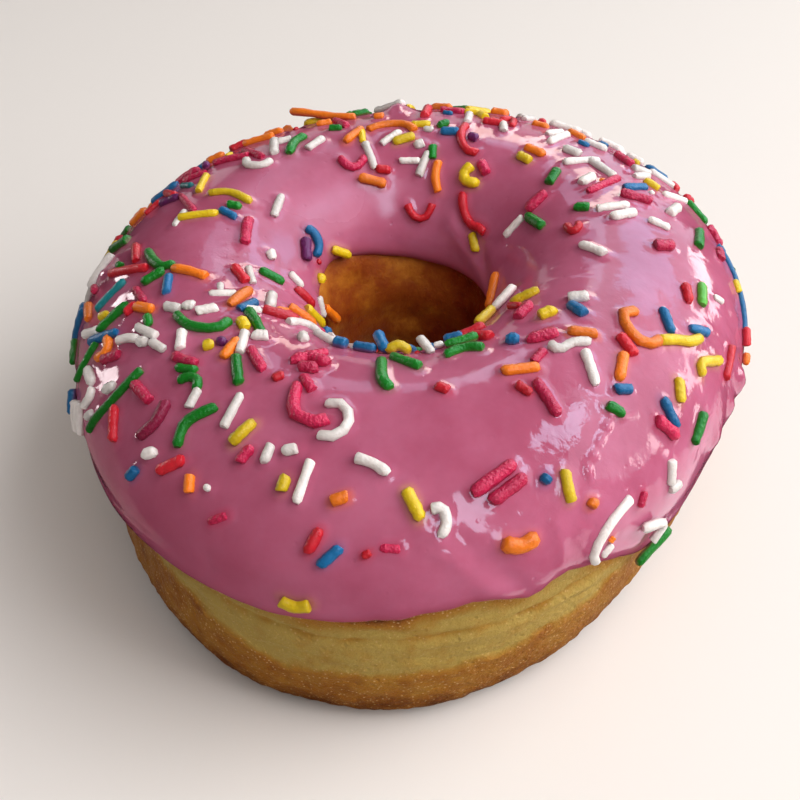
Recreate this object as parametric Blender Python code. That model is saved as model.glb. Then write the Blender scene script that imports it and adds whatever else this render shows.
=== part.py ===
"""Sprinkle frosted doughnut: a ring of fried yeast dough under a shell of set frosting.

Two solids in metres, +Z up. The ring stands on its flat underside, and the origin is the middle of
its footprint at the level it stands on. The frosting runs from the outer wall, over the crest and
part of the way down the hole. Sprinkles are too small for this model and are left out.
"""
import math

import bmesh
import bpy
from mathutils import Matrix, Vector

# The dough's section, from the flat underside up the outer wall, over the crest and down the hole.
WAIST_RADIUS = 0.0434       # widest line of the outer wall
WAIST_HEIGHT = 0.0240
FOOT_INSET = 0.0064         # how far the wall has drawn in where it meets the flat underside
CREST_RADIUS = 0.0258       # top line of the ring
CREST_HEIGHT = 0.0380
THROAT_RADIUS = 0.0111      # narrowest line of the hole
THROAT_HEIGHT = 0.0187
HOLE_FOOT_RADIUS = 0.0180   # the hole's wall where it meets the flat underside

# How full each quarter of the section is: 2 is an ellipse, less is straighter, more is squarer.
WALL_FULLNESS = 2.08
SHOULDER_FULLNESS = 1.77
HOLE_SHOULDER_FULLNESS = 2.21
HOLE_WALL_FULLNESS = 2.0

# The proved dough is uneven. Each wave is (waves in a turn, height, degrees from +X to a peak).
WAIST_WAVES = ((1, 0.0006, 34), (2, 0.0015, 64), (3, 0.0015, 24))
TILT_WAVES = ((1, 0.0014, -112),)       # rise and fall of the waist and the throat
CREST_WAVES = ((1, 0.0017, 62),)
THROAT_WAVES = ((1, 0.0004, 2), (2, 0.0008, 51))
LEAN = (0.05, 0.03)         # sideways run along X and Y for each metre of height

# The frosting, a shell that starts a little off the dough and ends in two rounded lips.
FROSTING_TOP = 0.0016       # outer face above the dough
FROSTING_GAP = 0.0003       # inner face above the dough
LIP_WIDTH = 0.0020          # distance over which a lip rounds up to full thickness
EDGE_HEIGHT = 0.0189        # outer lip above the underside
EDGE_WAVES = ((1, 0.0029, -152), (2, 0.0037, -76))
HOLE_EDGE_HEIGHT = 0.0259   # lip inside the hole
HOLE_EDGE_WAVES = ((1, 0.0010, 160), (2, 0.0009, 115))

# How finely the faces are divided.
TURN_STEPS = 72             # sections around the ring
CURVE_STEPS = 16            # points along each quarter of a section before it is divided evenly
DOUGH_ROWS = 27             # points from foot to foot over the dough
OUTER_ROWS = 18             # points over the frosting's outer face
INNER_ROWS = 14             # points over the frosting's inner face

CREASE_ANGLE = 50           # degrees between faces above which an edge stays sharp

DOUGH_COLOUR = (0.50, 0.29, 0.09)
DOUGH_ROUGHNESS = 0.75
FROSTING_COLOUR = (0.61, 0.14, 0.28)
FROSTING_ROUGHNESS = 0.25


def remove_objects():
    for obj in list(bpy.data.objects):
        bpy.data.objects.remove(obj, do_unlink=True)


def plain_material(name, colour, roughness):
    material = bpy.data.materials.new(name)
    material.use_nodes = True
    shader = material.node_tree.nodes["Principled BSDF"]
    shader.inputs["Base Color"].default_value = (*colour, 1.0)
    shader.inputs["Roughness"].default_value = roughness
    shader.inputs["Metallic"].default_value = 0.0
    material.diffuse_color = (*colour, 1.0)
    return material


def waves(angle, terms):
    """Sum of the waves at an angle around the ring."""
    return sum(height * math.cos(count * (angle - math.radians(peak))) for count, height, peak in terms)


def quarter(side, end, fullness):
    """Points from side, where the curve is upright, to end, where it is level."""
    points = []
    for step in range(CURVE_STEPS + 1):
        turn = math.pi / 2 * step / CURVE_STEPS
        across = max(math.cos(turn), 0.0) ** (2 / fullness)
        along = math.sin(turn) ** (2 / fullness)
        radius = end[0] + (side[0] - end[0]) * across
        height = side[1] + (end[1] - side[1]) * along
        points.append((radius, height))
    return points


def dough_skin(angle):
    """(radius, height) points from the outer foot over the crest to the foot inside the hole."""
    waist_radius = WAIST_RADIUS + waves(angle, WAIST_WAVES)
    tilt = waves(angle, TILT_WAVES)
    waist = (waist_radius, WAIST_HEIGHT + tilt)
    foot = (waist_radius - FOOT_INSET, 0.0)
    crest = (CREST_RADIUS, CREST_HEIGHT + waves(angle, CREST_WAVES))
    throat = (THROAT_RADIUS + waves(angle, THROAT_WAVES), THROAT_HEIGHT + tilt)
    hole_foot = (HOLE_FOOT_RADIUS, 0.0)
    points = quarter(waist, foot, WALL_FULLNESS)[::-1]
    points += quarter(waist, crest, SHOULDER_FULLNESS)[1:]
    points += quarter(throat, crest, HOLE_SHOULDER_FULLNESS)[::-1][1:]
    points += quarter(throat, hole_foot, HOLE_WALL_FULLNESS)[1:]
    return [Vector(point) for point in points]


def lengths_along(points):
    """Distance from the first point to each point."""
    lengths = [0.0]
    for before, after in zip(points, points[1:]):
        lengths.append(lengths[-1] + (after - before).length)
    return lengths


def point_at(points, lengths, length):
    """The point at a distance along the points, and the outward normal there."""
    index = 1
    while index < len(points) - 1 and lengths[index] < length:
        index += 1
    before, after = points[index - 1], points[index]
    share = (length - lengths[index - 1]) / (lengths[index] - lengths[index - 1])
    tangent = (points[min(index + 1, len(points) - 1)] - points[max(index - 2, 0)]).normalized()
    return before.lerp(after, share), Vector((tangent.y, -tangent.x))


def length_at_height(points, lengths, height, from_hole):
    """Distance along the points to where the outer wall, or the hole's wall, reaches a height."""
    crest = max(range(len(points)), key=lambda index: points[index].y)
    steps = range(len(points) - 1, crest, -1) if from_hole else range(1, crest + 1)
    for index in steps:
        low, high = (index, index - 1) if from_hole else (index - 1, index)
        if points[low].y <= height <= points[high].y:
            share = (height - points[low].y) / (points[high].y - points[low].y)
            return lengths[low] + share * (lengths[high] - lengths[low])
    raise ValueError("the frosting's edge is off the dough")


def place(angle, point):
    """The place in the ring of a (radius, height) point at an angle, leaning as the ring does."""
    radius, height = point
    x = radius * math.cos(angle) + LEAN[0] * height
    y = radius * math.sin(angle) + LEAN[1] * height
    return Vector((x, y, height))


def dough_section(angle):
    points = dough_skin(angle)
    lengths = lengths_along(points)
    rows = []
    for row in range(DOUGH_ROWS):
        rows.append(point_at(points, lengths, lengths[-1] * row / (DOUGH_ROWS - 1))[0])
    rows[0], rows[-1] = points[0], points[-1]
    return [place(angle, point) for point in rows]


def frosting_section(angle):
    points = dough_skin(angle)
    lengths = lengths_along(points)
    edge = EDGE_HEIGHT + waves(angle, EDGE_WAVES)
    hole_edge = HOLE_EDGE_HEIGHT + waves(angle, HOLE_EDGE_WAVES)
    start = length_at_height(points, lengths, edge, False)
    end = length_at_height(points, lengths, hole_edge, True)
    rows = []
    for row in range(OUTER_ROWS):
        even = row / (OUTER_ROWS - 1)
        eased = (1 - math.cos(math.pi * even)) / 2
        share = (eased + even) / 2      # rows are closer together at the lips
        length = start + (end - start) * share
        point, normal = point_at(points, lengths, length)
        inset = min(length - start, end - length, LIP_WIDTH) / LIP_WIDTH
        lip = math.sqrt(max(1 - (1 - inset) ** 2, 0.0))
        rows.append(point + normal * (FROSTING_GAP + (FROSTING_TOP - FROSTING_GAP) * lip))
    for row in range(INNER_ROWS - 2, 0, -1):
        length = start + (end - start) * row / (INNER_ROWS - 1)
        point, normal = point_at(points, lengths, length)
        rows.append(point + normal * FROSTING_GAP)
    return [place(angle, point) for point in rows]


def ring_from_sections(name, section, material):
    """A closed ring whose skin joins each section to the next, all the way round."""
    shape = bmesh.new()
    loops = []
    for step in range(TURN_STEPS):
        points = section(2 * math.pi * step / TURN_STEPS)
        loops.append([shape.verts.new(point) for point in points])
    for here, beyond in zip(loops, loops[1:] + loops[:1]):
        for index in range(len(here)):
            after = (index + 1) % len(here)
            shape.faces.new((here[index], beyond[index], beyond[after], here[after]))
    bmesh.ops.recalc_face_normals(shape, faces=shape.faces)
    mesh = bpy.data.meshes.new(name)
    shape.to_mesh(mesh)
    shape.free()
    mesh.shade_smooth()
    mesh.set_sharp_from_angle(angle=math.radians(CREASE_ANGLE))
    mesh.materials.append(material)
    obj = bpy.data.objects.new(name, mesh)
    bpy.context.scene.collection.objects.link(obj)
    return obj


def centre_on_footprint(objects):
    """Moves the meshes together so that the middle of their common footprint is at the origin."""
    places = [vertex.co for obj in objects for vertex in obj.data.vertices]
    middle_x = (min(co.x for co in places) + max(co.x for co in places)) / 2
    middle_y = (min(co.y for co in places) + max(co.y for co in places)) / 2
    for obj in objects:
        obj.data.transform(Matrix.Translation((-middle_x, -middle_y, 0.0)))


def build():
    remove_objects()
    fried_dough = plain_material("fried_dough", DOUGH_COLOUR, DOUGH_ROUGHNESS)
    set_frosting = plain_material("set_frosting", FROSTING_COLOUR, FROSTING_ROUGHNESS)
    dough = ring_from_sections("dough_ring", dough_section, fried_dough)
    frosting = ring_from_sections("frosting", frosting_section, set_frosting)
    centre_on_footprint((dough, frosting))


build()
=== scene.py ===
import math
import random

import bpy
import numpy as np
from mathutils import Matrix, Vector, noise
from mathutils.kdtree import KDTree


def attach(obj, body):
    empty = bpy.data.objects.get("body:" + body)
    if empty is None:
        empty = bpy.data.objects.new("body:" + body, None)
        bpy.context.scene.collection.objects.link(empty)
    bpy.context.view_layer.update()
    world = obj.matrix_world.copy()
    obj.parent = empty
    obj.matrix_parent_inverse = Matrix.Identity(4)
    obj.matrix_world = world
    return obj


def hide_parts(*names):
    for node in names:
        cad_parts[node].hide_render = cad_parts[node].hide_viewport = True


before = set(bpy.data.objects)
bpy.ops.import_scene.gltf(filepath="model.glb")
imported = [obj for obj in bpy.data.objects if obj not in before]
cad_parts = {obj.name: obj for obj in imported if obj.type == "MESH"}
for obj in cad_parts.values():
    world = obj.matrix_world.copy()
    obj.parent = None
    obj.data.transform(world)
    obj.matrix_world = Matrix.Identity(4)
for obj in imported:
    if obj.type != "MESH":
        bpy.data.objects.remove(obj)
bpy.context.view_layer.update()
mm = 0.001                      # every size below is in millimetres


def say(stage):
    print("doughnut:", stage)


def linearFromHex(code):
    channels = [int(code[start:start + 2], 16) / 255 for start in (1, 3, 5)]
    return tuple(c / 12.92 if c <= 0.04045 else ((c + 0.055) / 1.055) ** 2.4 for c in channels) + (1.0,)


def lumps(places, size, seed):
    # smooth noise from about -1 to 1, one swell or hollow for each size; a seed reads its own part of it
    scaled = places.reshape(-1, 3) / size + 11.7 * seed
    values = [noise.noise(place) for place in scaled.tolist()]
    return np.array(values).reshape(places.shape[:-1])


def unevenness(places, layers):
    # lumps of several sizes on top of each other: height, size, seed
    return sum(height * lumps(places, size, seed) for height, size, seed in layers)


def ease(value, low, high):
    # 0 at low and 1 at high, with no kink
    share = np.clip((value - low) / (high - low), 0, 1)
    return share * share * (3 - 2 * share)


def hump(distance, width):
    # 1 in the middle, falling away on both sides
    return np.exp(-(distance / width) ** 2)


def degreesBetween(degrees, centre):
    # the short way round, -180 to 180
    return (degrees - centre + 180) % 360 - 180


# The ring's section is a foot, a waist, a crest and a throat, joined by four quarter curves. Ring degrees
# run counter-clockwise from +X, so 270 is the front.
ring = {
    "axis": (-2.276, 0.397),    # where the ring's axis meets the floor
    "lean": (0.05, 0.03),       # sideways run for each unit of height
    "waistRadius": 43.4,
    "waistHeight": 24.0,
    "footInset": 6.4,
    "crestRadius": 25.8,
    "crestHeight": 38.0,
    "throatRadius": 11.1,
    "throatHeight": 18.7,
    "holeFootRadius": 18.0,
    "wallFullness": 2.08,
    "shoulderFullness": 1.77,
    "holeShoulderFullness": 2.21,
    "holeWallFullness": 2.0,
    # uneven proving: waves in a turn, height, ring degree of a peak
    "waistWaves": ((1, 0.6, 34), (2, 1.5, 64), (3, 1.5, 24)),
    "tiltWaves": ((1, 1.4, -112),),
    "crestWaves": ((1, 1.7, 62),),
    "throatWaves": ((1, 0.4, 2), (2, 0.8, 51)),
    "turns": 720,               # sections round the ring
    "softening": 1.4,           # how far the joins of the quarters are rounded over
    "quarterSteps": 33,
    "skinSteps": 520,           # points along one whole section
    "crestReach": 16,           # sections on each side that the crest's place is averaged over
    "knotEasing": 5,            # degrees on each side that a value given by ring degree is averaged over
    "noiseRadius": 40,          # circle on which noise that only changes round the ring is read
    "mergeWithin": 0.0001,      # points closer than this become one
}


def waves(angle, terms):
    total = np.zeros_like(angle)
    for count, height, peak in terms:
        total += height * np.cos(count * (angle - math.radians(peak)))
    return total


def quarter(side, end, fullness):
    # from side, where the curve is upright, to end, where it is level; 2 is an ellipse, more is squarer
    turn = np.linspace(0, math.pi / 2, ring["quarterSteps"])
    across = np.clip(np.cos(turn), 0, 1) ** (2 / fullness)
    along = np.sin(turn) ** (2 / fullness)
    radius = end[0][:, None] + (side[0] - end[0])[:, None] * across
    height = side[1][:, None] + (end[1] - side[1])[:, None] * along
    return np.stack([radius, height], -1)


def softened(points, spacing):
    # rounds over the joins of the quarters by a weighted mean along each section
    count = points.shape[1]
    reach = int(3 * ring["softening"] / spacing)
    weights = hump(np.arange(-reach, reach + 1) * spacing, math.sqrt(2) * ring["softening"])
    weights /= weights.sum()
    padded = np.pad(points, ((0, 0), (reach, reach), (0, 0)), mode="reflect", reflect_type="odd")
    return sum(weight * padded[:, shift:shift + count] for shift, weight in enumerate(weights))


def ringSkin(angle):
    # One row of evenly spaced points for each angle, from the foot inside the hole over the crest to the
    # outer foot. "out" is how far along the skin a point lies outwards from the crest.
    flat = np.zeros_like(angle)
    waistRadius = ring["waistRadius"] + waves(angle, ring["waistWaves"])
    tilt = waves(angle, ring["tiltWaves"])
    waist = (waistRadius, ring["waistHeight"] + tilt)
    foot = (waistRadius - ring["footInset"], flat)
    crest = (flat + ring["crestRadius"], ring["crestHeight"] + waves(angle, ring["crestWaves"]))
    throat = (ring["throatRadius"] + waves(angle, ring["throatWaves"]), ring["throatHeight"] + tilt)
    holeFoot = (flat + ring["holeFootRadius"], flat)
    curve = np.concatenate([
        quarter(throat, holeFoot, ring["holeWallFullness"])[:, ::-1],
        quarter(throat, crest, ring["holeShoulderFullness"])[:, 1:],
        quarter(waist, crest, ring["shoulderFullness"])[:, ::-1][:, 1:],
        quarter(waist, foot, ring["wallFullness"])[:, 1:],
    ], axis=1)
    steps = np.linalg.norm(np.diff(curve, axis=1), axis=2)
    lengths = np.concatenate([flat[:, None], np.cumsum(steps, axis=1)], axis=1)
    count = ring["skinSteps"]
    even = np.linspace(0, 1, count)[None, :] * lengths[:, -1:]
    points = np.empty((len(angle), count, 2))
    for row in range(len(angle)):
        for part in range(2):
            points[row, :, part] = np.interp(even[row], lengths[row], curve[row, :, part])
    points = softened(points, lengths[:, -1].mean() / (count - 1))
    slope = np.gradient(points, axis=1)
    slope /= np.linalg.norm(slope, axis=2, keepdims=True)
    top = np.argmax(points[:, :, 1], axis=1)
    crestAt = even[np.arange(len(angle)), top]
    # the highest point jumps by whole steps, which would show as streaks, so its place is averaged twice
    nearby = range(-ring["crestReach"], ring["crestReach"] + 1)
    for again in range(2):
        crestAt = np.mean([np.roll(crestAt, shift) for shift in nearby], axis=0)
    out = even - crestAt[:, None]
    return {"angle": angle, "out": out, "radius": points[..., 0], "height": points[..., 1],
            "sideways": -slope[..., 1], "upward": slope[..., 0], "top": top}


def inSpace(angle, radius, height):
    x = radius * math.cos(angle) + ring["lean"][0] * height + ring["axis"][0]
    y = radius * math.sin(angle) + ring["lean"][1] * height + ring["axis"][1]
    return np.stack([x, y, height], -1)


def readSkin(skin, row, out):
    # radius and height on one section, and the sideways and upward parts of the direction off the skin
    parts = ("radius", "height", "sideways", "upward")
    return [np.interp(out, skin["out"][row], skin[part][row]) for part in parts]


def alongSkin(skin, out, lift):
    # places at a distance out along the skin and a height off it
    places = np.empty(out.shape + (3,))
    for row, angle in enumerate(skin["angle"]):
        radius, height, sideways, upward = readSkin(skin, row, out[row])
        places[row] = inSpace(angle, radius + sideways * lift[row], height + upward * lift[row])
    return places


def outAtHeight(skin, height):
    # where the outer wall above the waist reaches a height
    found = np.empty(len(height))
    for row, top in enumerate(skin["top"]):
        wallHeight = skin["height"][row, top:][::-1]
        found[row] = np.interp(height[row], wallHeight, skin["out"][row, top:][::-1])
    return found


def ringGrain(skin, out, along, across):
    # places for noise that is drawn out along the ring
    angle = skin["angle"][:, None] + 0 * out
    radius = ring["noiseRadius"]
    return np.stack([np.cos(angle) * radius / along, np.sin(angle) * radius / along, out / across], -1)


def byDegree(knots):
    # values round the ring from (ring degree, value) knots, eased over a few degrees
    knotDegrees, values = zip(*knots)
    reach = ring["knotEasing"]
    shifts = np.linspace(-reach, reach, 2 * reach + 1)
    return np.mean([np.interp(degrees + shift, knotDegrees, values, period=360) for shift in shifts], axis=0)


def patch(outs, degree, halfWidth, out, reach):
    # 1 at a ring degree and out, falling away over a half width in degrees and a reach in mm
    return hump(degreesBetween(degrees, degree), halfWidth)[:, None] * hump(outs - out, reach)


def sectionAt(degree):
    return int(round(degree / 360 * ring["turns"])) % ring["turns"]


def storeOnPoints(piece, name, values):
    # single numbers, or colours where the last axis is a colour
    kind, field = ("FLOAT_COLOR", "color") if values.shape[-1] == 4 else ("FLOAT", "value")
    attribute = piece.data.attributes.new(name, kind, "POINT")
    attribute.data.foreach_set(field, values.astype(np.float32).ravel())


def ringPiece(name, places, marks):
    # A flat grid rolled up into a ring: each of its points is set, and its first and last rows meet both
    # ways and are merged.
    turns, rows = places.shape[:2]
    bpy.ops.object.select_all(action="DESELECT")
    bpy.ops.mesh.primitive_grid_add(x_subdivisions=rows, y_subdivisions=turns, size=ring["waistRadius"] * mm)
    piece = bpy.context.object
    piece.name = name
    piece.data.name = name
    closed = np.pad(places, ((0, 1), (0, 1), (0, 0)), mode="wrap")
    piece.data.vertices.foreach_set("co", (closed * mm).astype(np.float32).ravel())
    for mark, values in marks.items():
        edges = ((0, 1), (0, 1)) + ((0, 0),) * (values.ndim - 2)
        storeOnPoints(piece, mark, np.pad(values, edges, mode="wrap"))
    piece.data.update()
    bpy.ops.object.mode_set(mode="EDIT")
    bpy.ops.mesh.select_all(action="SELECT")
    bpy.ops.mesh.remove_doubles(threshold=ring["mergeWithin"] * mm)
    bpy.ops.mesh.normals_make_consistent(inside=False)
    bpy.ops.object.mode_set(mode="OBJECT")
    bpy.ops.object.shade_smooth()
    return piece


def addNode(tree, kind, inputs=None, stops=None, **settings):
    # adds a node; an input given as a socket is linked, anything else is set on the socket itself
    node = tree.nodes.new("ShaderNode" + kind)
    for name, value in settings.items():
        setattr(node, name, value)
    for name, value in (inputs or {}).items():
        if isinstance(value, bpy.types.NodeSocket):
            tree.links.new(value, node.inputs[name])
        else:
            node.inputs[name].default_value = value
    if stops:
        while len(node.color_ramp.elements) < len(stops):
            node.color_ramp.elements.new(0.5)
        for element, (position, colour) in zip(node.color_ramp.elements, stops):
            element.position = position
            element.color = linearFromHex(colour)
    return node


def newMaterial(name, finish):
    # finish is what is the same all over the surface, by the name of the shader's socket
    material = bpy.data.materials.new(name)
    material.use_nodes = True
    tree = material.node_tree
    shader = tree.nodes["Principled BSDF"]
    for socket, value in finish.items():
        shader.inputs[socket].default_value = value
    return material, tree, shader


angles = 2 * math.pi * np.arange(ring["turns"]) / ring["turns"]
degrees = np.degrees(angles)
skin = ringSkin(angles)
say("section worked out")


# The icing is a skin of pink sugar glaze poured over the top, with a rounded lip all round and short drips.
icing = {
    "thickness": 1.6,
    "lipThickness": 1.0,        # thinner where it ran out
    "holeLipThinner": 0.5,      # how much thinner than full it is at the edge in the hole
    "lipWidth": 1.3,
    "sink": 0.5,                # how deep its hidden underside lies in the dough
    # how far in from the outer edge and from the edge in the hole it gets its full thickness, from and to
    "fullFrom": (0.5, 7),
    "fullFromHole": (0.5, 4),
    # how far in from them its unevenness has its full height
    "unevenFrom": 1.6,
    "unevenFromHole": 5,
    # the outer edge where it isn't seen from the front; unevenness is always height, size, seed
    "edgeHeight": 18.9,
    "edgeWaves": ((1, 2.9, -152), (2, 3.7, -76)),
    "edgeUneven": ((0.8, 7, 1), (0.3, 2.4, 2)),
    # the outer edge along the front, with its drips and notches: ring degree, out
    "edgeFront": ((195, 27.4), (206, 28.2), (214, 28.2), (222, 27.5), (230, 27.3), (235, 27.4), (240, 27.5),
                  (250, 28.0), (255, 27.8), (259.5, 27.6), (262, 27.4), (265, 26.9), (268, 27.0),
                  (271, 26.2), (275, 25.9), (278, 25.3), (280.5, 25.6), (283, 26.1), (286.5, 26.9),
                  (288.5, 26.5), (290, 25.6), (293, 25.0), (295.5, 25.5), (300.5, 26.8), (305, 28.3),
                  (309, 30.0), (314, 31.3), (322, 31.6), (334, 31.4)),
    "frontStarts": (188, 200),  # ring degrees over which one description of the edge blends into the other
    "frontEnds": (322, 338),
    "edgeFine": ((0.08, 1.2, 3),),      # all round
    # the edge in the hole: ring degree, out
    "edgeInHole": ((0, -21.0), (10, -20.5), (30, -20.0), (40, -19.5), (60, -19.2), (80, -18.7), (100, -17.9),
                   (110, -17.1), (120, -16.5), (130, -15.8), (140, -15.2), (150, -15.9), (160, -16.3),
                   (170, -17.5), (178, -19.3), (190, -19.5), (210, -18.0), (270, -17.0), (300, -18.0),
                   (330, -20.5)),
    "edgeInHoleUneven": ((0.2, 15, 4),),
    "swell": ((0.22, 15, 5), (0.07, 6, 6)),
    # where the skin wrinkled as it set: ring degree, out, half widths in degrees and mm, strength
    "wrinkled": ((325, 9, 30, 9, 1.0), (298, 16, 14, 8, 0.9), (15, 6, 26, 12, 0.35), (186, -7, 20, 9, 0.9),
                 (45, 3, 20, 6, 0.4), (165, 20, 50, 6, 0.8), (335, 19, 20, 6, 1.0), (275, 23, 40, 3, 0.4)),
    "creases": ((1, 7, 7), (0.5, 3, 8)),        # share, size, seed
    "creaseHeight": 0.30,
    "creaseSink": 0.10,         # wrinkled skin lies this much lower between its creases
    "strands": (9, 1.6),        # faint strands in it, drawn out along the ring: length, width
    "strandHeight": 0.02,
    "bead": (2.4, 1.2, 0.18),   # gathers behind the lip: how far in from the edge, width, height
    "fineLine": 0.5,            # lines narrower than this are broken up
    # raised lines where the skin folded or cracked, and grooves: height, width, then ring degree and out
    "lines": (
        (0.50, 1.5, (62, -13), (50, -15.2), (38, -17), (26, -18.8), (15, -20.2)),
        (-0.45, 1.3, (55, -12), (43, -14.6), (31, -16.6), (19, -18.4)),
        (0.45, 0.42, (307.5, 10.6), (303.3, 12.2), (300.5, 13.3), (298.8, 14.1), (298.5, 15.2)),
        (0.32, 0.38, (309.5, 11.3), (312, 11.6), (314, 12.3), (316, 12.9)),
        (0.08, 0.30, (308, 13.5), (306.5, 15.6)),
        (0.07, 0.28, (232.5, 6), (238, 5.8), (243, 5)),
        (0.07, 0.28, (255.5, 7.4), (258.5, 7.9), (261, 9), (264.5, 13)),
        (0.07, 0.28, (340, -2), (337, -6), (330, -9)),
        (0.08, 0.28, (8, -2), (0, -3.6), (352, -4.5), (344, -6)),
        (0.10, 0.35, (342, 11), (344, 17)),
        (0.10, 0.35, (338, 12), (340.5, 18)),
        (0.12, 0.40, (331, 15.5), (328, 18.5), (322, 21)),
        (0.10, 0.35, (348, 14), (347, 19)),
        (0.08, 0.30, (294, 19), (298, 21.3), (304, 22)),
        (0.09, 0.30, (286, 16), (292, 18.5), (296, 22.5)),
        (0.08, 0.30, (270, 18), (276, 20.3), (283, 21.2)),
        (-0.10, 0.45, (251, 24.4), (258, 24.4), (265, 23.8), (273, 23.2)),
        (-0.12, 0.50, (240.5, 22), (241.5, 23.5)),
        (0.22, 1.1, (271.5, 17), (276, 20.5), (283, 25.4)),
        (-0.20, 1.0, (274.5, 16.5), (279, 19.5), (286, 24.5)),
        (0.16, 0.9, (293.5, 14), (291, 18), (291.5, 22.5)),
    ),
    # lumps: ring degree, out, half width, height
    "bumps": ((344, 22.3, 1.5, 1.2), (338.5, 22.8, 1.4, 0.7), (332, 23.5, 1.5, 0.5), (90.5, 6, 2.1, 1.2),
              (352, 18, 1.4, 0.3), (28, 9, 1.6, 0.4), (150, 14, 1.3, 0.5), (171, 16, 1.2, 0.4)),
    "lipRows": 8,
    "bodyRows": 108,
    "hiddenRows": 7,
    # colours from the deepest cloud to the palest one, and the darker one for thin glaze and painted shade
    "clouds": ((0.35, "#AB5674"), (0.65, "#B96686")),
    "thinEdgeAndShadeColour": "#A54E66",
    "thinEdge": (0.2, 2.6),     # how far in from an edge that colour fades out, from and to
    "paintedShade": (232, 30, 0.45),    # painted shade on the shaded lower left: ring degree, half width, strength
    "paintedShadeUpTo": (3, 20),        # and how far up from the edge the painted shade fades out, from and to
    "glossy": (0.06, 0.12),     # roughness of the wettest and of the driest glaze
    # where the glaze dried satin: ring degree, half width, out, half width, and the roughness it adds
    "satin": (128, 34, -6, 10),
    "satinRoughness": 0.25,
}

# both edges, as the out of each section's last points
knotDegrees, knotOuts = zip(*icing["edgeFront"])
frontEdge = np.interp(degrees, knotDegrees, knotOuts)
front = ease(degrees, *icing["frontStarts"]) - ease(degrees, *icing["frontEnds"])
edgePlaces = ring["noiseRadius"] * np.stack([np.cos(angles), np.sin(angles), 0 * angles], -1)
edgeOut = outAtHeight(skin, icing["edgeHeight"] + waves(angles, icing["edgeWaves"]))
edgeOut += unevenness(edgePlaces, icing["edgeUneven"])
edgeOut += (frontEdge - edgeOut) * front
edgeOut += unevenness(edgePlaces, icing["edgeFine"])
holeOut = byDegree(icing["edgeInHole"]) + unevenness(edgePlaces, icing["edgeInHoleUneven"])

# rows from the outer lip up over the crest and down to the lip in the hole, then back underneath
lipTurn = np.linspace(0, math.pi / 2, icing["lipRows"] + 1)
lipIn = icing["lipWidth"] * (1 - np.cos(lipTurn))
lipRise = np.sin(lipTurn)
body = np.linspace(0, 1, icing["bodyRows"] + 2)[1:-1]
hidden = np.linspace(0, 1, icing["hiddenRows"] + 2)[1:-1]
span = (edgeOut - holeOut)[:, None]
bodyOut = edgeOut[:, None] - icing["lipWidth"] - (span - 2 * icing["lipWidth"]) * body
faceOut = np.concatenate([edgeOut[:, None] - lipIn, bodyOut, holeOut[:, None] + lipIn[::-1]], axis=1)
rise = np.concatenate([lipRise, np.ones(len(body)), lipRise[::-1]])[None, :] + 0 * faceOut
fromEdge = edgeOut[:, None] - faceOut
fromHole = faceOut - holeOut[:, None]
basePlaces = alongSkin(skin, faceOut, 0 * faceOut)
baseRadius = np.hypot(basePlaces[..., 0] - ring["axis"][0], basePlaces[..., 1] - ring["axis"][1])
mmInDegree = baseRadius * math.pi / 180


def nearLine(path, width):
    # how near each point of the icing's face is to a line through (ring degree, out) points
    nearest = np.full(faceOut.shape, 1000.0)
    for (degree, out), (nextDegree, nextOut) in zip(path, path[1:]):
        x = degreesBetween(degrees, degree)[:, None] * mmInDegree
        y = faceOut - out
        runX = (nextDegree - degree) * mmInDegree
        runY = nextOut - out
        share = np.clip((x * runX + y * runY) / (runX ** 2 + runY ** 2), 0, 1)
        nearest = np.minimum(nearest, np.hypot(x - share * runX, y - share * runY))
    return hump(nearest, width)


# the unevenness of the face, and the icing's thickness with it
wrinkles = np.zeros_like(faceOut)
for degree, out, halfWidth, reach, strength in icing["wrinkled"]:
    wrinkles = np.maximum(wrinkles, strength * patch(faceOut, degree, halfWidth, out, reach))
creases = sum(share * np.abs(lumps(basePlaces, size, seed)) for share, size, seed in icing["creases"])
strands = lumps(ringGrain(skin, faceOut, *icing["strands"]), 1, 9)
wrinkleHeight = icing["creaseHeight"] * creases - icing["creaseSink"] + icing["strandHeight"] * strands
relief = unevenness(basePlaces, icing["swell"]) + wrinkles * wrinkleHeight
beadIn, beadWidth, beadHeight = icing["bead"]
relief += beadHeight * hump(fromEdge - beadIn, beadWidth)
broken = 0.6 + 0.8 * lumps(basePlaces, 0.9, 10)                 # fades fine lines in and out
for height, width, *path in icing["lines"]:
    relief += height * nearLine(path, width) * (broken if width < icing["fineLine"] else 1)
for degree, out, width, height in icing["bumps"]:
    across = np.hypot(degreesBetween(degrees, degree)[:, None] * mmInDegree, faceOut - out)
    relief += height * hump(across, width) * (1 + 0.3 * lumps(basePlaces, 1.0, 12))
fuller = icing["thickness"] - icing["lipThickness"]
glaze = icing["lipThickness"] + fuller * ease(fromEdge, *icing["fullFrom"])
glaze -= icing["holeLipThinner"] * (1 - ease(fromHole, *icing["fullFromHole"]))
cover = glaze + relief * ease(fromEdge, 0, icing["unevenFrom"]) * ease(fromHole, 0, icing["unevenFromHole"])
lift = rise * cover
icingFace = alongSkin(skin, faceOut, lift)
say("icing shaped")


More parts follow.
